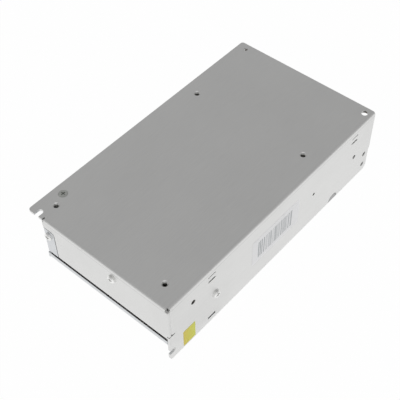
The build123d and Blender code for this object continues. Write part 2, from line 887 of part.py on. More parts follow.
def fuse_clips():
    x, y, rise = fuse_centre()
    half = fuse_cap_radius + clip_gap + clip_thickness
    path = [(-half, clip_height), (-half, 0), (half, 0), (half, clip_height)]
    clip = along_x(folded_strip(path, clip_thickness, clip_thickness), -clip_width / 2, clip_width / 2)
    offset = (fuse_length - fuse_cap_length) / 2
    return group([seat(clip, x - offset, y), seat(clip, x + offset, y)])


def x_capacitor():
    length, width, height = x_capacitor_size
    body = Pos(0, 0, height / 2) * Box(length, width, height)
    body = chamfer(body.edges().filter_by(Axis.Z), x_capacitor_corner)
    return seat(body, from_end(x_capacitor_from_end), from_cover(x_capacitor_from_cover))


def ring_core(outer, inner, height, lift):
    ring = rod_z(outer, lift, lift + height, 0, 0)
    return ring - rod_z(inner, lift - over, lift + height + over, 0, 0)


def ring_winding(outer, inner, height, lift, wire, angle):
    """Layer of wire wrapped round part of a ring core."""
    middle = (outer + inner) / 2
    section = Rectangle(outer - inner + 2 * wire, height + 2 * wire)
    section -= Rectangle(outer - inner, height)
    placed = Plane.XZ * Pos(middle, lift + height / 2) * section
    return revolve(placed, Axis.Z, angle)


def filter_choke_core():
    core = ring_core(choke_outer_radius, choke_inner_radius, choke_core_height, choke_wire)
    return seat(core, from_end(choke_from_end), from_cover(choke_from_cover))


def filter_choke_windings():
    winding = ring_winding(choke_outer_radius, choke_inner_radius, choke_core_height, choke_wire,
                           choke_wire, choke_winding_angle)
    place = (from_end(choke_from_end), from_cover(choke_from_cover))
    return group([seat(winding, *place, turn) for turn in (0, 180)])


def standing_disc(radius, thickness):
    disc = rod_y(radius, -thickness / 2, thickness / 2, 0, radius + disc_leg_height)
    for x in (-radius / 2, radius / 2):
        disc += block(x - disc_leg / 2, x + disc_leg / 2, -disc_leg / 2, disc_leg / 2,
                      0, radius + disc_leg_height)
    return disc


def y_capacitors():
    disc = standing_disc(y_capacitor_radius, y_capacitor_thickness)
    y = from_cover(y_capacitor_from_cover)
    return group([seat(disc, from_end(distance), y) for distance in y_capacitor_from_end])


def inrush_thermistor():
    disc = standing_disc(thermistor_radius, thermistor_thickness)
    return seat(disc, thermistor_x, from_cover(thermistor_from_cover))


def bridge_rectifier():
    length, width, height = bridge_rectifier_size
    lift = bridge_rectifier_lift
    body = Pos(0, 0, lift + height / 2) * Box(length, width, height)
    corner = body.edges().filter_by(Axis.Y).sort_by_distance((length / 2, 0, lift + height))[0]
    body = chamfer(corner, bridge_rectifier_corner)
    for i in range(bridge_rectifier_leads):
        x = (i - (bridge_rectifier_leads - 1) / 2) * length / bridge_rectifier_leads
        body += Pos(x, 0, lift / 2) * Box(lead_width, lead_width, lift)
    return seat(body, bridge_rectifier_x, from_cover(bridge_rectifier_from_cover))


def capacitor_can(radius, height):
    can = rod_z(radius, 0, height, 0, 0)
    top_edge = can.edges().filter_by(GeomType.CIRCLE).sort_by(Axis.Z)[-1]
    return chamfer(top_edge, can_edge)


def bulk_capacitor(index):
    can = capacitor_can(bulk_capacitor_radius, bulk_capacitor_height)
    return seat(can, bulk_capacitor_x[index], from_cover(bulk_capacitor_from_cover))


def output_capacitor(index):
    can = capacitor_can(output_capacitor_radius, output_capacitor_height)
    x = from_end(output_capacitor_from_end[index % 2])
    return seat(can, x, output_capacitor_y[index // 2])


def transformer_axis_rise():
    return core_lift + core_thickness / 2


def transformer_core():
    middle = transformer_axis_rise()
    core = Pos(0, 0, middle) * Box(core_length, core_width, core_thickness)
    window_length_x = core_length / 2 - outer_leg - centre_leg / 2
    window = Box(window_length_x, core_width - 2 * yoke, core_thickness + over)
    offset = centre_leg / 2 + window_length_x / 2
    for side in (-1, 1):
        core -= Pos(side * offset, 0, middle) * window
    return seat(core, transformer_x, transformer_y)


def transformer_bobbin():
    middle = transformer_axis_rise()
    inner_x = centre_leg + 2 * bobbin_play
    inner_z = core_thickness + 2 * bobbin_play
    span = core_width - 2 * yoke - 2 * bobbin_play
    bobbin = Pos(0, 0, middle) * Box(inner_x + 2 * bobbin_wall, span, inner_z + 2 * bobbin_wall)
    flange_x = core_length - 2 * outer_leg - 2 * bobbin_play
    flange_top = middle + inner_z / 2 + bobbin_wall + winding_thickness
    for side in (-1, 1):
        y = side * (span - flange_thickness) / 2
        bobbin += Pos(0, y, flange_top / 2) * Box(flange_x, flange_thickness, flange_top)
    bobbin -= Pos(0, 0, middle) * Box(inner_x, core_width, inner_z)
    return seat(bobbin, transformer_x, transformer_y)


def transformer_winding():
    middle = transformer_axis_rise()
    inner_x = centre_leg + 2 * bobbin_play + 2 * bobbin_wall
    inner_z = core_thickness + 2 * bobbin_play + 2 * bobbin_wall
    span = core_width - 2 * yoke - 2 * bobbin_play - 2 * flange_thickness
    outline = RectangleRounded(inner_x + 2 * winding_thickness, inner_z + 2 * winding_thickness,
                               winding_corner)
    outline -= Rectangle(inner_x, inner_z)
    winding = along_y(Pos(0, middle) * outline, -span / 2, span / 2)
    return seat(winding, transformer_x, transformer_y)


def output_choke_core():
    core = ring_core(output_choke_outer_radius, output_choke_inner_radius, output_choke_core_height,
                     output_choke_wire)
    return seat(core, from_end(output_choke_from_end), output_choke_y)


def output_choke_winding():
    winding = ring_winding(output_choke_outer_radius, output_choke_inner_radius, output_choke_core_height,
                           output_choke_wire, output_choke_wire, output_choke_winding_angle)
    return seat(winding, from_end(output_choke_from_end), output_choke_y)


def output_heatsink():
    x = from_end(heatsink_from_end)
    half = heatsink_length / 2
    low = board_face - heatsink_height
    comb = block(x - half, x + half, heatsink_y, heatsink_y + heatsink_plate, low, board_face)
    pitch = (heatsink_length - heatsink_fin) / (heatsink_fin_count - 1)
    for i in range(heatsink_fin_count):
        fin_x = x - half + i * pitch
        comb += block(fin_x, fin_x + heatsink_fin, heatsink_y + heatsink_plate,
                      heatsink_y + heatsink_plate + heatsink_fin_reach, low, board_face)
    for place in rectifier_places():
        comb -= rod_y(m3_tapped_radius, heatsink_y - over, heatsink_y + heatsink_plate + over,
                      place, board_face - package_screw_rise())
    return comb


def rectifier_places():
    x = from_end(heatsink_from_end)
    return (x - rectifier_offset, x + rectifier_offset)


def package_screw_rise():
    return package_lift + (package_height + package_body_height) / 2


def flat_package(tab_hole):
    """Three-lead package standing up, with the back of its metal tab at y = 0."""
    half = package_width / 2
    body = block(-half, half, 0, package_thickness, package_lift, package_lift + package_body_height)
    body += block(-half, half, 0, package_tab, package_lift, package_lift + package_height)
    middle = package_thickness / 2
    for i in (-1, 0, 1):
        x = i * package_lead_pitch
        body += block(x - lead_width / 2, x + lead_width / 2, middle - package_lead_thickness / 2,
                      middle + package_lead_thickness / 2, 0, package_lift)
    if tab_hole:
        body -= rod_y(m3_hole_radius, -over, package_tab + over, 0, package_screw_rise())
    return body


def output_rectifiers():
    package = flat_package(True)
    return group([seat(package, x, heatsink_y) for x in rectifier_places()])


def rectifier_screws():
    screw = Rot(90, 0, 0) * pan_screw(package_tab + heatsink_plate)
    z = board_face - package_screw_rise()
    return group([Pos(x, heatsink_y - package_tab, z) * screw for x in rectifier_places()])


def transistor_places():
    return (clamp_screw_x - transistor_offset, clamp_screw_x + transistor_offset)


def transistor_pads():
    half = package_width / 2 + pad_margin
    low = board_face - package_lift - package_height - pad_margin
    high = board_face - package_lift + pad_margin
    return group([block(x - half, x + half, wall, wall + pad_thickness, low, high)
                  for x in transistor_places()])


def switching_transistors():
    package = Rot(0, 0, 180) * flat_package(False)
    back = wall + pad_thickness
    return group([seat(package, x, back) for x in transistor_places()])


def clamp_bar():
    back = wall + pad_thickness + package_thickness
    half = clamp_bar_length / 2
    z = case_height - clamp_screw_depth
    bar = block(clamp_screw_x - half, clamp_screw_x + half, back, back + clamp_bar_thickness,
                z - clamp_bar_height / 2, z + clamp_bar_height / 2)
    return bar - rod_y(m3_tapped_radius, back - over, back + clamp_bar_thickness + over, clamp_screw_x, z)


def driver_transformer():
    core = Pos(0, 0, driver_core_lift + driver_core_size[2] / 2) * Box(*driver_core_size)
    coil = Pos(0, 0, driver_coil_size[2] / 2) * Box(*driver_coil_size)
    coil = fillet(coil.edges().filter_by(Axis.Y), driver_coil_corner)
    return seat(core + coil, driver_x, driver_y)


def control_chip():
    body = Pos(0, 0, chip_lift + chip_height / 2) * Box(chip_length, chip_width, chip_height)
    leg_y = chip_width / 2 + chip_leg / 2
    leg_top = chip_lift + chip_height / 2
    for i in range(chip_legs_per_side):
        x = (i - (chip_legs_per_side - 1) / 2) * chip_leg_pitch
        for side in (-1, 1):
            body += Pos(x, side * leg_y, leg_top / 2) * Box(chip_leg, chip_leg, leg_top)
    return seat(body, chip_x, chip_y)


def power_resistors():
    half = resistor_length / 2
    bend_y = half + resistor_lead_reach
    resistor = rod_y(resistor_radius, -half, half, 0, resistor_lift)
    outer = [(-bend_y, 0), (-bend_y, resistor_lift), (bend_y, resistor_lift), (bend_y, 0)]
    inner = [(bend_y - resistor_lead, 0), (bend_y - resistor_lead, resistor_lift - resistor_lead),
             (resistor_lead - bend_y, resistor_lift - resistor_lead), (resistor_lead - bend_y, 0)]
    lead = make_face(Polyline(*outer, *inner, close=True))
    resistor += along_x(lead, -resistor_lead / 2, resistor_lead / 2)
    return group([seat(resistor, resistor_x + i * resistor_spacing, resistor_y)
                  for i in range(resistor_count)])


def earth_lug():
    z = case_height - end_screw_depth
    lug = rod_x(lug_plate_radius, wall, wall + lug_plate_thickness, end_screw_y, z)
    half = lug_tail_width / 2
    lug += block(wall, wall + lug_plate_thickness, end_screw_y - half, end_screw_y + half,
                 z - lug_plate_radius - lug_tail_length, z)
    return lug - rod_x(m3_tapped_radius, 0, wall + 2 * lug_plate_thickness, end_screw_y, z)


def all_pieces():
    makers = [
        chassis, mesh_cover, side_clamp_screw, end_wall_screw, cover_tab_screw, cover_base_screw,
        barcode_label, yellow_sticker, circuit_board, board_standoffs, board_screws, insulation_sheet,
        terminal_block, terminal_clamps, terminal_screws, terminal_cover, trim_pot_body,
        trim_pot_rotor, power_led, selector_body, selector_slider, fuse_tube, fuse_caps, fuse_clips,
        x_capacitor, filter_choke_core, filter_choke_windings, y_capacitors, inrush_thermistor,
        bridge_rectifier, transformer_core, transformer_bobbin, transformer_winding,
        output_choke_core, output_choke_winding, output_heatsink, output_rectifiers,
        rectifier_screws, transistor_pads, switching_transistors, clamp_bar, driver_transformer,
        control_chip, power_resistors, earth_lug,
    ]
    pieces = {maker.__name__: maker() for maker in makers}
    for index in range(len(bulk_capacitor_x)):
        pieces["bulk_capacitor_" + str(index + 1)] = bulk_capacitor(index)
    for index in range(len(output_capacitor_from_end) * len(output_capacitor_y)):
        pieces["output_capacitor_" + str(index + 1)] = output_capacitor(index)
    return pieces


def write_parts():
    """The written origin is at the middle of the whole outline, on the cover's outer face."""
    os.makedirs("parts", exist_ok=True)
    middle_x = (case_length - pan_head_height) / 2
    middle_y = (case_width - pan_head_height) / 2
    for name, piece in all_pieces().items():
        export_step(Pos(-middle_x, -middle_y, 0) * piece, os.path.join("parts", name + ".step"))


write_parts()
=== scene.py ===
import math
import random

import bmesh
import bpy
from mathutils import Matrix, Vector
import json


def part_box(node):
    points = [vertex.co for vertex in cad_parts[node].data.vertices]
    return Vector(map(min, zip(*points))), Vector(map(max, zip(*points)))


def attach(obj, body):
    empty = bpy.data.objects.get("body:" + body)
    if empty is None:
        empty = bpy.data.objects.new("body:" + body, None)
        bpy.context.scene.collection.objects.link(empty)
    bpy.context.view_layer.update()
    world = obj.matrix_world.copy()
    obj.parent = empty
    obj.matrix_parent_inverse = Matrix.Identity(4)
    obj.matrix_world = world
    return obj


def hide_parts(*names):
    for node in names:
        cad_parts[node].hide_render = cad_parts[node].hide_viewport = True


# Looks of a switching power supply that lies on its mesh cover, base plate up.
# Places on the case are in millimetres from the case corner under the near end:
# x from the end wall's face, y from the side wall's face, z from the floor.

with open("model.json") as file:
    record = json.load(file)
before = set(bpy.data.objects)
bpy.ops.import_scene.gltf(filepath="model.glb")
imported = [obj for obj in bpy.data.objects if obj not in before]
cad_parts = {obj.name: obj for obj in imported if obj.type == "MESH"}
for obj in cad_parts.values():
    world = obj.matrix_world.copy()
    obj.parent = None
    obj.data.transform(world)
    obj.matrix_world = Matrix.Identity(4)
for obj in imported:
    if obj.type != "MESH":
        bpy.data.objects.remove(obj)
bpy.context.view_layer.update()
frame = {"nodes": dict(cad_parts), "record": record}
scene = bpy.context.scene

MM = 0.001
case_low, case_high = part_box("chassis")

along_case = (1.0, 0.0, 0.0)
across_case = (0.0, 1.0, 0.0)
upward = (0.0, 0.0, 1.0)

# The photograph's camera
camera_place = (-0.27535, -0.23525, 0.4351)
camera_aim = (-0.01255, -0.00225, 0.0250)
camera_roll = -1.01
camera_lens = 77.66

# Light and floor
dome_zenith = 0.43
dome_horizon = 0.58
dome_floor_side = 0.80
dome_horizon_band = (0.49, 0.53)
dome_zenith_from = 0.8
key_watts = 6.0
key_place = (-0.9, -1.0, 1.3)
fill_watts = 0.5
fill_place = (0.6, 1.6, 1.4)
lamp_size = 2.5
floor_size = 6.0
floor_tone = 0.90
floor_whiteness = 0.985
floor_drop = 0.1
# Painted shadow on the floor under the case: its whiteness to the camera and to gloss, its bounds, the
# fade towards the open end and its colour
painted_shadow_glow = 0.35
painted_shadow_low = (13.3, 0.0)
painted_shadow_high = (198.0, 108.0)
painted_shadow_fade = 22.0
painted_shadow_tone = 0.2

# Painted shade: a darker band along the walls at the fold's tangent line, by height
fold_shade_band = (46.75, 47.15)
fold_shade_tone = 0.80

# Vertices closer than this, in metres, are one, and edges sharper than this, in degrees, stay sharp
merge_distance = 0.000001
sharp_angle = 35.0

# Threads in the base plate
thread_pitch = 0.7
thread_turns = 4
thread_crest_radius = 1.36
thread_steps_per_turn = 24

# Chokes: the core's wall, the wire's diameter, the turns and where round the core they start
filter_core_wall = 4.4
filter_wire = 1.3
filter_turns = 9
filter_sweep = 130.0
filter_starts = (0.0, 180.0)
output_core_wall = 4.6
output_wire = 1.5
output_turns = 21
output_sweep = 320.0
output_starts = (0.0,)
turn_steps = 20
turn_squareness = 0.3

# Label film and the bars on it
label_film = 0.05
label_corner = 1.2
bar_first_x = 79.0
bar_last_x = 112.0
bar_low_z = 17.5
bar_high_z = 32.0
bar_widths = (0.35, 0.55, 0.9)
bar_gaps = (0.4, 0.7, 1.1)
bar_seed = 5
print_film = 0.02

# Electrolytic capacitors: can tops, sleeve stripes and glue
sleeve_lap = 1.7
disc_rise = 0.12
disc_flat_share = 0.9
vent_width = 0.3
vent_share = 0.62
vent_turns = (30.0, 120.0)
stripe_angle = 34.0
stripe_root = 0.1
stripe_film = 0.02
stripe_end_gaps = (1.0, 0.2)
glue_radius = 1.3
glue_seat_share = 0.8
glue_sides = 10
glue_sweep = 215.0
glue_waver = 0.12
glue_seed = 11

# Colour rings of the power resistors: finish and place along the body
power_resistor_radius = 2.3
ring_places = (("slider_red", -3.6), ("film_black", -1.8), ("copper_wire", 0.0), ("brass_parts", 3.4))
ring_half_width = 0.5
ring_root = 0.2
ring_film = 0.03

# Tape round the transformer core
tape_margin = 3.0
tape_corner = 0.4
tape_film = 0.15
tape_lap = (8.0, 22.0)
tape_lap_film = 0.3

# Fuse wire: share of the tube's length and sag at each bend
fuse_wire_width = 0.3
fuse_wire_bends = ((-0.1, 0.0), (0.2, -0.2), (0.5, -0.45), (0.8, -0.15), (1.1, 0.0))
fuse_wire_sway = 0.25
fuse_wire_waves = 9.0

# Small parts on the board: the room that each takes, its body, and how far its axis hangs off the board
small_part_count = 14
small_part_gap = 1.0
small_part_height = 5.0
small_part_seed = 23
place_tries = 4000
widest_board_part = 60.0
board_part_seat = 3.0
resistor_room = (9.0, 2.4)
resistor_half_length = 2.9
resistor_radius = 1.1
resistor_waist = 0.85
resistor_cap = 1.2
resistor_round = 0.2
resistor_hang = 1.2
resistor_reach = 4.2
diode_room = (10.0, 3.2)
diode_half_length = 2.6
diode_radius = 1.35
diode_rounds = (0.15, 0.2)
diode_hang = 1.5
diode_reach = 4.6
disc_room = (5.0, 3.0)
disc_radius = 2.1
disc_shoulder = 1.3
disc_half_widths = (1.1, 0.95, 0.4)
disc_hang = 3.2
disc_lead_offset = 1.25
disc_lead_length = 2.4
lead_width = 0.5
lead_bend = 0.4

# Solder side of the board, behind the terminals
terminal_ways = 9
track_length = 24.0
track_width = 5.4
track_film = 0.06
track_end_gap = 1.0
solder_pins_x = (174.0, 181.0)
solder_fillet = ((1.7, 0.0), (1.0, 0.3), (0.6, 0.9), (0.0, 1.1))


def place(x, y, z):
    """A point on the case, given in millimetres, as a point in the frame."""
    return Vector((case_low.x + x * MM, case_low.y + y * MM, z * MM))


def case_box(node):
    """Lowest and highest corner of a piece, in case millimetres."""
    return tuple((corner - place(0, 0, 0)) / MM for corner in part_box(node))


def linear(red, green, blue):
    """A screen colour from 0 to 255 as the light values that a shader takes."""
    return tuple(((level / 255 + 0.055) / 1.055) ** 2.4 for level in (red, green, blue)) + (1.0,)


def shade(colour, factor):
    """A colour made darker or paler, at most white."""
    return tuple(min(level * factor, 1.0) for level in colour[:3]) + (1.0,)


def grey(tone):
    """A neutral colour of this strength."""
    return (tone, tone, tone, 1.0)


class Wire:
    """An output socket on which plain arithmetic adds Math nodes."""

    def __init__(self, finish, socket):
        self.finish = finish
        self.socket = socket

    def math(self, operation, first, second):
        return self.finish.add("ShaderNodeMath", {"operation": operation}, {0: first, 1: second})

    def __add__(self, other):
        return self.math("ADD", self, other)

    def __radd__(self, other):
        return self.math("ADD", other, self)

    def __sub__(self, other):
        return self.math("SUBTRACT", self, other)

    def __rsub__(self, other):
        return self.math("SUBTRACT", other, self)

    def __mul__(self, other):
        return self.math("MULTIPLY", self, other)

    def __rmul__(self, other):
        return self.math("MULTIPLY", other, self)

    def __gt__(self, other):
        return self.math("GREATER_THAN", self, other)

    def __lt__(self, other):
        return self.math("LESS_THAN", self, other)

    def at_least(self, other):
        return self.math("MAXIMUM", self, other)


class Finish:
    """The node tree of one material or of the world."""

    def __init__(self, owner):
        owner.use_nodes = True
        self.owner = owner
        self.tree = owner.node_tree
        self.tree.nodes.clear()

    def add(self, kind, settings=None, values=None, output=0):
        """One node: its settings first, then the value or link of each socket that is named."""
        node = self.tree.nodes.new(kind)
        for name, setting in (settings or {}).items():
            if name == "stops":
                set_stops(node.color_ramp, setting)
            else:
                setattr(node, name, setting)
        for key, value in (values or {}).items():
            if isinstance(value, Wire):
                self.tree.links.new(value.socket, node.inputs[key])
            else:
                node.inputs[key].default_value = value
        return Wire(self, node.outputs[output]) if len(node.outputs) else None

    def place(self, stretch=(1.0, 1.0, 1.0)):
        """The point on the piece in metres, stretched where a pattern has a direction."""
        coordinates = self.add("ShaderNodeTexCoord", output="Object")
        return self.add("ShaderNodeMapping", values={"Vector": coordinates, "Scale": stretch})

    def noise(self, scale, detail=2.0, stretch=(1.0, 1.0, 1.0)):
        """Soft noise with this many blobs to the metre."""
        values = {"Vector": self.place(stretch), "Scale": scale, "Detail": detail}
        return self.add("ShaderNodeTexNoise", {}, values)

    def ramp(self, value, stops):
        return self.add("ShaderNodeValToRGB", {"stops": stops}, {"Fac": value})

    def blend(self, factor, first, second):
        return self.add("ShaderNodeMix", {"data_type": "RGBA"}, {0: factor, 6: first, 7: second}, 2)

    def bump(self, height, depth):
        return self.add("ShaderNodeBump", values={"Height": height, "Distance": depth})

    def surface(self, values):
        shader = self.add("ShaderNodeBsdfPrincipled", values=values)
        self.add("ShaderNodeOutputMaterial", values={"Surface": shader})
        return self.owner


def set_stops(ramp, stops):
    while len(ramp.elements) < len(stops):
        ramp.elements.new(0.5)
    for element, (position, colour) in zip(ramp.elements, stops):
        element.position = position
        element.color = colour


def new_finish(name):
    return Finish(bpy.data.materials.new(name))


# Finishes


def rolled_sheet(name, colour, roughness, grain_along=(0.03, 1.0, 1.0), shade_band=None):
    """Bare sheet with the streaks of rolling, handling marks and, where a band is given, painted shade
    along the fold line.
    """
    finish = new_finish(name)
    grain = finish.noise(2600.0, 3.0, grain_along)
    cloud = finish.noise(22.0, 3.0)
    smear = finish.noise(95.0, 4.0, (0.5, 1.0, 1.0))
    tone = finish.ramp(0.65 * grain + 0.35 * cloud,
                       [(0.35, shade(colour, 0.965)), (0.65, shade(colour, 1.03))])
    if shade_band:
        rise = finish.add("ShaderNodeSeparateXYZ", values={"Vector": finish.place()}, output="Z")
        # Painted shade along the fold line of the walls
        line = (rise > shade_band[0] * MM) * (rise < shade_band[1] * MM)
        tone = finish.blend(line, tone, shade(colour, fold_shade_tone))
    return finish.surface({
        "Base Color": tone,
        "Metallic": 1.0,
        "Roughness": roughness - 0.09 + 0.10 * grain + 0.10 * smear,
        "Normal": finish.bump(grain, 0.000012),
    })


def zinc_sheet(name, colour, roughness):
    """Coated steel sheet with a soft crystal mottle."""
    finish = new_finish(name)
    crystals = finish.add("ShaderNodeTexVoronoi", {"feature": "SMOOTH_F1"},
                          {"Vector": finish.place(), "Scale": 260.0})
    grain = finish.noise(1800.0, 3.0, (0.06, 1.0, 1.0))
    tone = finish.ramp(0.5 * crystals + 0.5 * grain,
                       [(0.3, shade(colour, 0.96)), (0.6, shade(colour, 1.04))])
    return finish.surface({
        "Base Color": tone,
        "Metallic": 1.0,
        "Roughness": roughness - 0.05 + 0.08 * grain + 0.06 * crystals,
        "Normal": finish.bump(grain, 0.00001),
    })


def plated_metal(name, colour, roughness, metallic=1.0):
    """Bright plating with fine scratches from handling."""
    finish = new_finish(name)
    scratches = finish.noise(3500.0, 4.0, (1.0, 0.1, 1.0))
    patches = finish.noise(420.0, 2.0)
    tone = finish.ramp(patches, [(0.35, shade(colour, 0.9)), (0.7, shade(colour, 1.06))])
    return finish.surface({
        "Base Color": tone,
        "Metallic": metallic,
        "Roughness": roughness + 0.12 * scratches + 0.06 * patches,
        "Normal": finish.bump(scratches, 0.000006),
    })


def thread_painted_shade(name, painted_shade_colour, mouth_colour, roughness):
    """Tapped metal with painted shade: dark further in, where the hole is shaded, and the metal's pale
    tone at the mouth.
    """
    finish = new_finish(name)
    rise = finish.add("ShaderNodeSeparateXYZ", values={"Vector": finish.place()}, output="Z")
    depth = thread_turns * thread_pitch * MM
    share = (rise - (case_high.z - depth)) * (1.0 / depth)
    stain = finish.noise(900.0, 3.0)
    # Painted shade: the tone goes by height from dark deep in the hole to pale at its mouth
    tone = finish.ramp(share + 0.3 * (stain - 0.5), [(0.35, painted_shade_colour), (0.8, mouth_colour)])
    return finish.surface({
        "Base Color": tone,
        "Metallic": 1.0,
        "Roughness": roughness + 0.1 * stain,
    })


def moulding(name, colour, roughness, texture=0.00001):
    """Moulded plastic with a fine spark texture and a slightly uneven gloss."""
    finish = new_finish(name)
    texture_noise = finish.noise(2400.0, 2.0)
    flow = finish.noise(60.0, 2.0)
    tone = finish.ramp(flow, [(0.3, shade(colour, 0.93)), (0.7, shade(colour, 1.07))])
    return finish.surface({
        "Base Color": tone,
        "Roughness": roughness + 0.10 * flow,
        "Normal": finish.bump(texture_noise, texture),
    })


def dipped_coat(name, colour, roughness):
    """Epoxy dip: smooth, with a low orange-peel swell."""
    finish = new_finish(name)
    swell = finish.noise(520.0, 1.0)
    tone = finish.ramp(swell, [(0.35, shade(colour, 0.9)), (0.7, shade(colour, 1.12))])
    return finish.surface({
        "Base Color": tone,
        "Roughness": roughness + 0.08 * swell,
        "Coat Weight": 0.4,
        "Normal": finish.bump(swell, 0.00006),
    })


def satin_film(name, colour, roughness):
    """Metallised label film with a silky face."""
    finish = new_finish(name)
    silk = finish.noise(1500.0, 4.0)
    tone = finish.ramp(silk, [(0.3, shade(colour, 0.97)), (0.7, shade(colour, 1.02))])
    return finish.surface({
        "Base Color": tone,
        "Metallic": 0.45,
        "Roughness": roughness + 0.1 * silk,
        "Normal": finish.bump(silk, 0.000006),
    })


def sticker_paper(name, near_colour, far_colour, roughness):
    """Coloured paper, warmer at the end that lies nearer to the end wall."""
    finish = new_finish(name)
    low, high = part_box("yellow_sticker")
    along = finish.add("ShaderNodeSeparateXYZ", values={"Vector": finish.place()}, output="X")
    share = (along - low.x) * (1.0 / (high.x - low.x))
    fibres = finish.noise(1500.0, 4.0)
    return finish.surface({
        "Base Color": finish.blend(share + 0.2 * (fibres - 0.5), near_colour, far_colour),
        "Roughness": roughness + 0.1 * fibres,
        "Normal": finish.bump(fibres, 0.000008),
    })


def ferrite(name, colour):
    """Ground ferrite: dull grey-black with pores and bright specks."""
    finish = new_finish(name)
    pores = finish.noise(1400.0, 5.0)
    tone = finish.ramp(pores, [(0.35, shade(colour, 0.55)), (0.62, shade(colour, 1.25))])
    return finish.surface({
        "Base Color": tone,
        "Roughness": 0.5 + 0.2 * pores,
        "Metallic": 0.25,
        "Normal": finish.bump(pores, 0.00003),
    })


def enamelled_wire(name, colour):
    """Copper under clear enamel, a little streaky from winding."""
    finish = new_finish(name)
    streaks = finish.noise(700.0, 2.0)
    tone = finish.ramp(streaks, [(0.3, shade(colour, 0.82)), (0.7, shade(colour, 1.15))])
    return finish.surface({
        "Base Color": tone,
        "Metallic": 0.85,
        "Roughness": 0.24 + 0.12 * streaks,
        "Coat Weight": 0.6,
    })


def laminate(name, colour):
    """Board laminate with a woven bump under its lacquer."""
    finish = new_finish(name)
    weave = finish.add("ShaderNodeTexWave", {"wave_type": "BANDS", "bands_direction": "DIAGONAL"},
                       {"Vector": finish.place(), "Scale": 420.0, "Distortion": 0.6})
    cloud = finish.noise(70.0, 3.0)
    tone = finish.ramp(0.3 * weave + 0.7 * cloud,
                       [(0.3, shade(colour, 0.88)), (0.7, shade(colour, 1.1))])
    return finish.surface({
        "Base Color": tone,
        "Roughness": 0.34 + 0.12 * cloud,
        "Coat Weight": 0.3,
        "Normal": finish.bump(weave, 0.000015),
    })


def clear_moulding(name, colour, alpha):
    """Clear cover that lets the background through and keeps its gloss."""
    finish = new_finish(name)
    flow = finish.noise(90.0, 2.0)
    tone = finish.ramp(flow, [(0.3, shade(colour, 0.96)), (0.7, shade(colour, 1.03))])
    return finish.surface({
        "Base Color": tone,
        "Roughness": 0.08 + 0.06 * flow,
        "Alpha": alpha,
        "Coat Weight": 0.5,
        "Normal": finish.bump(flow, 0.00001),
    })


finishes = {
    # The chassis carries painted shade along the fold line of its walls
    "chassis_aluminium": rolled_sheet("chassis_aluminium", linear(224, 224, 223), 0.40,
                                      shade_band=fold_shade_band),
    "cover_steel": zinc_sheet("cover_steel", linear(214, 216, 218), 0.36),
    "screw_zinc": plated_metal("screw_zinc", linear(250, 250, 248), 0.26, 0.85),
    "screw_dark": plated_metal("screw_dark", linear(196, 198, 194), 0.36),
    # Threads: the dark deep colour is painted shade inside the holes
    "thread_painted_shade": thread_painted_shade("thread_painted_shade", linear(62, 61, 58), linear(236, 236, 234), 0.16),
    "label_paper": satin_film("label_paper", linear(246, 246, 247), 0.42),
    "label_ink": satin_film("label_ink", linear(182, 186, 188), 0.42),
    "sticker_yellow": sticker_paper("sticker_yellow", linear(253, 233, 104), linear(248, 252, 112), 0.5),
    "board_laminate": laminate("board_laminate", linear(172, 128, 62)),
    "brass_parts": plated_metal("brass_parts", linear(205, 176, 110), 0.22),
    "film_black": moulding("film_black", linear(36, 37, 40), 0.30),
    "block_plastic": moulding("block_plastic", linear(30, 31, 33), 0.42),
    "terminal_metal": plated_metal("terminal_metal", linear(212, 211, 206), 0.18),
    "clear_plastic": clear_moulding("clear_plastic", linear(222, 228, 232), 0.26),
    "trim_blue": moulding("trim_blue", linear(38, 82, 168), 0.32),
    "trim_white": moulding("trim_white", linear(226, 225, 220), 0.38),
    "led_green": clear_moulding("led_green", linear(70, 190, 86), 0.82),
    "slider_red": moulding("slider_red", linear(190, 32, 24), 0.34),
    "fuse_glass": clear_moulding("fuse_glass", linear(226, 236, 232), 0.30),
    "capacitor_box_yellow": moulding("capacitor_box_yellow", linear(214, 178, 60), 0.30),
    "ferrite": ferrite("ferrite", linear(70, 70, 72)),
    "copper_wire": enamelled_wire("copper_wire", linear(196, 116, 58)),
    "disc_blue": dipped_coat("disc_blue", linear(42, 96, 170), 0.32),
    "disc_green": dipped_coat("disc_green", linear(44, 96, 70), 0.36),
    "epoxy_black": moulding("epoxy_black", linear(38, 38, 40), 0.5, 0.00002),
    "sleeve_black": moulding("sleeve_black", linear(34, 35, 44), 0.24),
    "sleeve_green": moulding("sleeve_green", linear(24, 74, 58), 0.26),
    "bobbin_plastic": moulding("bobbin_plastic", linear(58, 56, 54), 0.45),
    "winding_tape": moulding("winding_tape", linear(220, 184, 58), 0.22),
    "core_powder": ferrite("core_powder", linear(206, 190, 66)),
    "heatsink_aluminium": rolled_sheet("heatsink_aluminium", linear(206, 208, 210), 0.36,
                                       (1.0, 1.0, 0.03)),
    "pad_grey": moulding("pad_grey", linear(150, 154, 152), 0.6),
    "resistor_body": dipped_coat("resistor_body", linear(150, 164, 158), 0.45),
}


def dress_nodes():
    """Gives every piece of the frame the finish that its record slot names."""
    for subpart in frame["record"]["subparts"]:
        piece = frame["nodes"][subpart["node"]]
        for material_slot in piece.material_slots:
            material_slot.material = finishes[subpart["material_slot"]]


dress_nodes()


# Tools for the pieces made here


def add_block(shape, low, high):
    """A box between two corners in case millimetres."""
    start = place(*low)
    end = place(*high)
    matrix = Matrix.Translation((start + end) / 2) @ Matrix.Diagonal(end - start).to_4x4()
    bmesh.ops.create_cube(shape, size=1.0, matrix=matrix)


def add_rod(shape, start, end, radius, segments=16):
    """A round rod between two points in case millimetres."""
    first = place(*start)
    run = place(*end) - first
    turn = run.to_track_quat("Z", "Y").to_matrix().to_4x4()
    matrix = Matrix.Translation(first + run / 2) @ turn
    bmesh.ops.create_cone(shape, cap_ends=True, segments=segments, radius1=radius * MM,
                          radius2=radius * MM, depth=run.length, matrix=matrix)


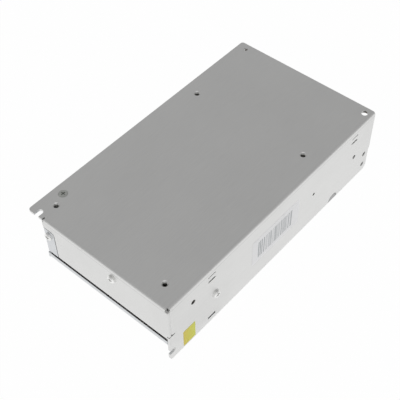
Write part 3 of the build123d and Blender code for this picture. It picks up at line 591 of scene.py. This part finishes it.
def spin_section(shape, section, centre, axis, angle=360.0, steps=48):
    """Turns a chain of points, each a radius and a distance along the axis, round that axis."""
    along = Vector(axis)
    outward = along.orthogonal().normalized()
    middle = place(*centre)
    points = [shape.verts.new(middle + (outward * radius + along * rise) * MM)
              for radius, rise in section]
    edges = [shape.edges.new(pair) for pair in zip(points, points[1:])]
    closed = angle == 360.0
    bmesh.ops.spin(shape, geom=points + edges, cent=middle, axis=along, angle=math.radians(angle),
                   steps=steps, use_merge=closed)


def ring_section(inner, outer, low, high):
    """A closed chain round a ring's cut face."""
    return [(inner, low), (outer, low), (outer, high), (inner, high), (inner, low)]


def mirrored(points):
    """A chain of points from the end of an axis to its middle, and on to the other end."""
    return [(radius, -rise) for radius, rise in points] + list(reversed(points))


def make_piece(name, shape, slot, finish=None, replaced=(), crease=sharp_angle):
    """Closes a shape, turns its faces outwards and makes a piece of it."""
    bmesh.ops.remove_doubles(shape, verts=shape.verts, dist=merge_distance)
    bmesh.ops.holes_fill(shape, edges=shape.edges, sides=0)
    bmesh.ops.recalc_face_normals(shape, faces=shape.faces)
    mesh = bpy.data.meshes.new(name)
    shape.to_mesh(mesh)
    shape.free()
    finish_piece(name, mesh, slot, finish, replaced, crease)


def finish_piece(name, mesh, slot, finish=None, replaced=(), crease=sharp_angle):
    """Puts a mesh into the scene on the case with its finish, and hides the nodes that it stands for."""
    mesh.materials.clear()
    mesh.materials.append(finishes[finish or slot])
    mesh.shade_smooth()
    mesh.set_sharp_from_angle(angle=math.radians(crease))
    piece = bpy.data.objects.new(name, mesh)
    scene.collection.objects.link(piece)
    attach(piece, "case")
    if replaced:
        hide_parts(*replaced)


def make_wires(name, runs, diameter, slot, replaced=()):
    """Round wires along runs of points in case millimetres, as one mesh."""
    curve = bpy.data.curves.new(name, "CURVE")
    curve.dimensions = "3D"
    curve.bevel_depth = diameter / 2 * MM
    curve.bevel_resolution = 2
    curve.use_fill_caps = True
    for run in runs:
        spline = curve.splines.new("POLY")
        spline.points.add(len(run) - 1)
        for point, (x, y, z) in zip(spline.points, run):
            point.co = (*place(x, y, z), 1.0)
    holder = bpy.data.objects.new(name + "_path", curve)
    mesh = bpy.data.meshes.new_from_object(holder)
    bpy.data.objects.remove(holder)
    finish_piece(name, mesh, slot, replaced=replaced, crease=60.0)


# Threads and label


def make_base_threads():
    """The helical ridge inside each drawn collar of the base plate."""
    mount = next(entry for entry in frame["record"]["mounts"] if entry["name"] == "base_threads")
    shape = bmesh.new()
    steps = thread_turns * thread_steps_per_turn
    size = mount["dims"]
    bore = size["hole_r_mm"]
    depth = (bore - thread_crest_radius) * MM
    bottom = case_high.z - (thread_turns + 1.0) * thread_pitch * MM
    for side_x in (-0.5, 0.5):
        for side_y in (-0.5, 0.5):
            centre = Vector((mount["pos_m"][0] + side_x * size["spacing_x_mm"] * MM,
                             mount["pos_m"][1] + side_y * size["spacing_y_mm"] * MM, bottom))
            root = centre + Vector((bore * MM, 0.0, 0.0))
            lay = Matrix.Translation(root) @ Matrix.Rotation(math.radians(90.0), 4, "X")
            ridge = bmesh.ops.create_circle(shape, cap_ends=True, segments=4, radius=depth,
                                            matrix=lay)["verts"]
            face = ridge[0].link_faces[0]
            bmesh.ops.spin(shape, geom=ridge + list(face.edges) + [face], cent=centre,
                           axis=upward, angle=math.tau * thread_turns, steps=steps,
                           dvec=(0.0, 0.0, thread_pitch * MM / thread_steps_per_turn))
    make_piece("base_threads", shape, "chassis_aluminium", "thread_painted_shade")


def make_label():
    """Thin film with round corners, and plain bars in place of its print."""
    low, high = case_box("barcode_label")
    face_y = high.y - label_film
    shape = bmesh.new()
    add_block(shape, (low.x, face_y, low.z), (high.x, high.y, high.z))
    corners = [edge for edge in shape.edges
               if abs(edge.verts[0].co.y - edge.verts[1].co.y) > label_film * MM / 2]
    bmesh.ops.bevel(shape, geom=corners, offset=label_corner * MM, segments=5, affect="EDGES",
                    profile=0.5, material=-1)
    make_piece("label_film", shape, "label_paper", replaced=("barcode_label",))
    shape = bmesh.new()
    chance = random.Random(bar_seed)
    x = bar_first_x
    while x < bar_last_x:
        width = chance.choice(bar_widths)
        add_block(shape, (x, face_y - print_film, bar_low_z), (x + width, face_y, bar_high_z))
        x += width + chance.choice(bar_gaps)
    make_piece("label_print", shape, "label_paper", "label_ink")


# Chokes


def winding_run(centre, inner, outer, height, wire, turns, start, sweep):
    """The path of a wire wound round part of a ring core, turn by turn."""
    reach_across = (outer - inner + wire) / 2
    reach_up = (height + wire) / 2
    run = []
    for step in range(turns * turn_steps + 1):
        round_core = math.radians(start + sweep * step / (turns * turn_steps))
        round_turn = math.tau * step / turn_steps + math.pi / 2
        across = math.cos(round_turn)
        up = math.sin(round_turn)
        across = math.copysign(abs(across) ** turn_squareness, across) * reach_across
        up = math.copysign(abs(up) ** turn_squareness, up) * reach_up
        radius = (inner + outer) / 2 + across
        run.append((centre.x + radius * math.cos(round_core), centre.y + radius * math.sin(round_core),
                    centre.z + up))
    return run


def make_choke(name, core, core_wall, replaced, wire, turns, sweep, starts):
    """Wire turns round a ring core, in place of the solid that stands for the winding."""
    low, high = case_box(core)
    outer = (high.x - low.x) / 2
    centre = (low + high) / 2
    runs = [winding_run(centre, outer - core_wall, outer, high.z - low.z, wire, turns, start, sweep)
            for start in starts]
    make_wires(name, runs, wire, "copper_wire", (replaced,))


def make_chokes():
    make_choke("filter_choke_turns", "filter_choke_core", filter_core_wall, "filter_choke_windings",
               filter_wire, filter_turns, filter_sweep, filter_starts)
    make_choke("output_choke_turns", "output_choke_core", output_core_wall, "output_choke_winding",
               output_wire, output_turns, output_sweep, output_starts)


# Capacitors


def electrolytics():
    """Centre, radius, open end and board end of each can."""
    cans = []
    for subpart in frame["record"]["subparts"]:
        if subpart["material_slot"].startswith("sleeve_"):
            low, high = case_box(subpart["node"])
            middle = (low + high) / 2
            cans.append((middle.x, middle.y, (high.x - low.x) / 2, low.z, high.z))
    return cans


def make_can_tops():
    """Bare aluminium discs in the sleeves' open ends, each with the cross of its vent."""
    shape = bmesh.new()
    for x, y, radius, low_z, high_z in electrolytics():
        rim = radius - sleeve_lap
        face = low_z - disc_rise
        section = [(0.0, 0.0), (rim * disc_flat_share, 0.0), (rim, disc_rise), (rim, 2 * disc_rise)]
        spin_section(shape, section, (x, y, face), upward)
        reach = rim * vent_share
        for turn in vent_turns:
            along = Vector((math.cos(math.radians(turn)), math.sin(math.radians(turn)), 0.0)) * reach
            add_rod(shape, (x - along.x, y - along.y, face), (x + along.x, y + along.y, face),
                    vent_width / 2, segments=8)
    make_piece("capacitor_can_tops", shape, "heatsink_aluminium")


def make_can_stripes():
    """The pale stripe that runs down each sleeve on its negative side."""
    shape = bmesh.new()
    for x, y, radius, low_z, high_z in electrolytics():
        height = high_z - low_z
        section = ring_section(radius - stripe_root, radius + stripe_film, stripe_end_gaps[0],
                               height - stripe_end_gaps[1])
        spin_section(shape, section, (x, y, low_z), upward, stripe_angle, steps=8)
    make_piece("capacitor_stripes", shape, "pad_grey")


def make_glue():
    """Beads of white glue that hold the cans to the board."""
    shape = bmesh.new()
    chance = random.Random(glue_seed)
    for x, y, radius, low_z, high_z in electrolytics():
        seat = (x, y, high_z - glue_radius * glue_seat_share)
        section = [(radius + glue_radius * math.cos(turn), glue_radius * math.sin(turn))
                   for turn in (math.tau * step / glue_sides for step in range(glue_sides + 1))]
        spin_section(shape, section, seat, upward, glue_sweep, steps=40)
    bmesh.ops.remove_doubles(shape, verts=shape.verts, dist=merge_distance)
    for point in shape.verts:
        point.co += Vector((chance.uniform(-1, 1), chance.uniform(-1, 1), 0.0)) * glue_waver * MM
    make_piece("glue_beads", shape, "trim_white", crease=80.0)


# Resistor bands, tape, fuse wire and small board parts


def make_resistor_bands():
    """Colour rings round the three power resistors, one piece for each colour."""
    low, high = case_box("power_resistors")
    radius = power_resistor_radius
    spacing = (high.x - low.x - 2 * radius) / 2
    middle = (low + high) / 2
    section = ring_section(radius - ring_root, radius + ring_film, -ring_half_width, ring_half_width)
    for slot, offset in ring_places:
        shape = bmesh.new()
        for index in (-1, 0, 1):
            centre = (middle.x + index * spacing, middle.y + offset, low.z + radius)
            spin_section(shape, section, centre, across_case, steps=32)
        make_piece("resistor_bands_" + slot, shape, slot)


def make_core_tape():
    """Tape wrapped round the ferrite core's edge, with a lap at one side."""
    low, high = case_box("transformer_core")
    band_low = low.z + tape_margin
    band_high = high.z - tape_margin
    shape = bmesh.new()
    add_block(shape, (low.x, low.y, band_low), (high.x, high.y, band_high))
    caps = [face for face in shape.faces if abs(face.normal.z) > 0.9]
    bmesh.ops.delete(shape, geom=caps, context="FACES_ONLY")
    uprights = [edge for edge in shape.edges if abs(edge.verts[0].co.z - edge.verts[1].co.z) > MM]
    bmesh.ops.bevel(shape, geom=uprights, offset=tape_corner * MM, segments=3, affect="EDGES",
                    profile=0.5, material=-1)
    bmesh.ops.recalc_face_normals(shape, faces=shape.faces)
    bmesh.ops.solidify(shape, geom=shape.faces[:], thickness=-tape_film * MM)
    add_block(shape, (low.x + tape_lap[0], low.y - tape_lap_film, band_low),
              (low.x + tape_lap[1], low.y, band_high))
    make_piece("core_tape", shape, "winding_tape")


def make_fuse_wire():
    """The slack wire inside the fuse's glass tube."""
    low, high = case_box("fuse_tube")
    middle = (low + high) / 2
    run = []
    for share, sag in fuse_wire_bends:
        sway = fuse_wire_sway * math.sin(fuse_wire_waves * share)
        run.append((low.x + (high.x - low.x) * share, middle.y + sway, middle.z + sag))
    make_wires("fuse_wire", [run], fuse_wire_width, "terminal_metal")


def board_parts():
    """Boxes of what hangs from the board's face, with one small box for each point of its screws."""
    face = case_box("circuit_board")[0].z
    taken = []
    for subpart in frame["record"]["subparts"]:
        low, high = case_box(subpart["node"])
        if low.z < face < high.z + board_part_seat and high.x - low.x < widest_board_part:
            taken.append((low, high))
    for point in frame["nodes"]["board_screws"].data.vertices:
        spot = (point.co - place(0, 0, 0)) / MM
        taken.append((spot, spot))
    return taken


def free_places(room, count, taken, chance):
    """Spots on the board where a part that takes this room fits clear of all the others."""
    low, high = case_box("circuit_board")
    length, width = room
    reach_x = length / 2 + small_part_gap
    reach_y = width / 2 + small_part_gap
    places = []
    for attempt in range(place_tries):
        if len(places) == count:
            break
        x = chance.uniform(low.x + length, high.x - length)
        y = chance.uniform(low.y + width, high.y - width)
        near = Vector((x - reach_x, y - reach_y, low.z - small_part_height))
        far = Vector((x + reach_x, y + reach_y, low.z))
        if all(far.x < start.x or near.x > end.x or far.y < start.y or near.y > end.y
               for start, end in taken):
            places.append((x, y))
            taken.append((near, far))
    return places


def axial_lead(x, y, face, hang, reach):
    """A wire that leaves the board, runs through a part and goes back to the board."""
    axis = face - hang
    bend = axis + lead_bend
    return [(x - reach, y, face), (x - reach, y, bend), (x - reach + lead_bend, y, axis),
            (x + reach - lead_bend, y, axis), (x + reach, y, bend), (x + reach, y, face)]


def resistor_section():
    """Outline of a resistor: a waist between two rounded end caps."""
    end = resistor_half_length
    slope = 2 * resistor_round
    return mirrored([(0.0, end), (resistor_radius - resistor_round, end), (resistor_radius, end - slope),
                     (resistor_radius, end - resistor_cap), (resistor_waist, end - resistor_cap - slope)])


def diode_section():
    """Outline of a diode: a plain body with rounded ends."""
    end = diode_half_length
    across, along = diode_rounds
    return mirrored([(0.0, end), (diode_radius - across, end), (diode_radius, end - along)])


def disc_section():
    """Outline of a ceramic disc, thickest in the middle."""
    return mirrored(list(zip((0.0, disc_shoulder, disc_radius), disc_half_widths)))


def make_small_parts():
    """Small resistors, diodes and ceramic capacitors, soldered where the board is free."""
    taken = board_parts()
    face = case_box("circuit_board")[0].z
    chance = random.Random(small_part_seed)
    bodies = bmesh.new()
    diodes = bmesh.new()
    discs = bmesh.new()
    leads = []
    for x, y in free_places(resistor_room, small_part_count, taken, chance):
        spin_section(bodies, resistor_section(), (x, y, face - resistor_hang), along_case, steps=20)
        leads.append(axial_lead(x, y, face, resistor_hang, resistor_reach))
    for x, y in free_places(diode_room, small_part_count // 2, taken, chance):
        spin_section(diodes, diode_section(), (x, y, face - diode_hang), along_case, steps=20)
        leads.append(axial_lead(x, y, face, diode_hang, diode_reach))
    for x, y in free_places(disc_room, small_part_count // 2, taken, chance):
        spin_section(discs, disc_section(), (x, y, face - disc_hang), across_case, steps=24)
        for side in (-disc_lead_offset, disc_lead_offset):
            leads.append([(x + side, y, face), (x + side, y, face - disc_lead_length)])
    make_piece("board_resistors", bodies, "resistor_body")
    make_piece("board_diodes", diodes, "epoxy_black")
    make_piece("board_disc_capacitors", discs, "disc_blue")
    make_wires("board_part_leads", leads, lead_width, "terminal_metal")


def make_solder():
    """Tinned tracks on the board's back behind the terminals, with a joint on each pin."""
    low, high = case_box("terminal_screws")
    far_x = case_box("terminal_block")[1].x
    back = case_box("circuit_board")[1].z
    radius = (high.x - low.x) / 2
    pitch = (high.y - low.y - 2 * radius) / (terminal_ways - 1)
    tracks = bmesh.new()
    joints = bmesh.new()
    for way in range(terminal_ways):
        y = low.y + radius + way * pitch
        add_block(tracks, (far_x - track_length, y - track_width / 2, back - track_film),
                  (far_x - track_end_gap, y + track_width / 2, back + track_film))
        for x in solder_pins_x:
            spin_section(joints, solder_fillet, (x, y, back + track_film), upward, steps=16)
    make_piece("solder_tracks", tracks, "terminal_metal")
    make_piece("solder_joints", joints, "terminal_metal", crease=70.0)


make_base_threads()
make_label()
make_chokes()
make_can_tops()
make_can_stripes()
make_glue()
make_resistor_bands()
make_core_tape()
make_fuse_wire()
make_small_parts()
make_solder()


# Floor, light and camera


def floor_material():
    """Pale floor that looks white to the camera and to gloss, with a painted shadow where the case
    shelters it: darker in colour there, and less white to the camera and to gloss.

    It is clear from below, so that the mesh panel can be seen.
    """
    finish = new_finish("studio_floor")
    path = {kind: finish.add("ShaderNodeLightPath", output="Is " + kind + " Ray")
            for kind in ("Camera", "Glossy", "Transmission")}
    spot = {axis: finish.add("ShaderNodeSeparateXYZ", values={"Vector": finish.place()}, output=axis)
            for axis in ("X", "Y")}
    low = place(*painted_shadow_low, 0.0)
    high = place(*painted_shadow_high, 0.0)
    fade = finish.ramp((high.x - spot["X"]) * (1.0 / (painted_shadow_fade * MM)),
                       [(0.0, grey(0.0)), (1.0, grey(1.0))])
    # Painted shadow: the floor is darker and less white under the case, and this fades out towards the
    # far end
    under = fade * (spot["X"] > low.x) * (spot["Y"] > low.y) * (spot["Y"] < high.y)
    seen = path["Camera"].at_least(path["Glossy"]).at_least(path["Transmission"])
    share = seen * (floor_whiteness * (1.0 - under) + painted_shadow_glow * under)
    tone = finish.blend(under, grey(floor_tone), grey(painted_shadow_tone))
    matt = finish.add("ShaderNodeBsdfDiffuse", values={"Color": tone})
    white = finish.add("ShaderNodeEmission", values={"Color": grey(1.0)})
    mixed = finish.add("ShaderNodeMixShader", values={0: share, 1: matt, 2: white})
    underside = finish.add("ShaderNodeNewGeometry", output="Backfacing")
    clear = finish.add("ShaderNodeBsdfTransparent")
    shown = finish.add("ShaderNodeMixShader", values={0: underside, 1: mixed, 2: clear})
    finish.add("ShaderNodeOutputMaterial", values={"Surface": shown})
    return finish.owner


def make_floor():
    """A flat floor just under the case."""
    shape = bmesh.new()
    bmesh.ops.create_grid(shape, x_segments=1, y_segments=1, size=floor_size / 2,
                          matrix=Matrix.Translation((0.0, 0.0, -floor_drop * MM)))
    mesh = bpy.data.meshes.new("floor")
    shape.to_mesh(mesh)
    shape.free()
    mesh.materials.append(floor_material())
    floor = bpy.data.objects.new("floor", mesh)
    scene.collection.objects.link(floor)


def make_world():
    """White to the camera, and a grey studio dome to everything that it lights."""
    scene.world = bpy.data.worlds.new("studio")
    finish = Finish(scene.world)
    camera_ray = finish.add("ShaderNodeLightPath", output="Is Camera Ray")
    clear_ray = finish.add("ShaderNodeLightPath", output="Is Transmission Ray")
    direction = finish.add("ShaderNodeTexCoord", output="Generated")
    height = finish.add("ShaderNodeSeparateXYZ", values={"Vector": direction}, output="Z")
    dome_colour = finish.ramp(height * 0.5 + 0.5, [
        (dome_horizon_band[0], grey(dome_floor_side)),
        (dome_horizon_band[1], grey(dome_horizon)),
        (dome_zenith_from, grey(dome_zenith)),
    ])
    dome = finish.add("ShaderNodeBackground", values={"Color": dome_colour})
    white = finish.add("ShaderNodeBackground", values={"Color": grey(1.0)})
    seen = camera_ray.at_least(clear_ray)
    mixed = finish.add("ShaderNodeMixShader", values={0: seen, 1: dome, 2: white})
    finish.add("ShaderNodeOutputWorld", values={"Surface": mixed})


def make_lamp(name, watts, where):
    """A soft round lamp that looks at the middle of the floor."""
    lamp = bpy.data.lights.new(name, "AREA")
    lamp.energy = watts
    lamp.shape = "DISK"
    lamp.size = lamp_size
    holder = bpy.data.objects.new(name, lamp)
    holder.location = where
    holder.rotation_euler = (-Vector(where)).to_track_quat("-Z", "Y").to_euler()
    scene.collection.objects.link(holder)


def make_camera():
    """The photograph's view."""
    camera = bpy.data.objects.new("camera", bpy.data.cameras.new("camera"))
    camera.data.lens = camera_lens
    camera.data.clip_start = 0.01
    camera.location = camera_place
    look = (Vector(camera_aim) - Vector(camera_place)).to_track_quat("-Z", "Y").to_matrix()
    roll = Matrix.Rotation(math.radians(camera_roll), 3, "Z")
    camera.rotation_euler = (look @ roll).to_euler()
    scene.collection.objects.link(camera)
    scene.camera = camera


make_floor()
make_world()
make_lamp("key", key_watts, key_place)
make_lamp("fill", fill_watts, fill_place)
make_camera()
scene.view_settings.view_transform = "Standard"
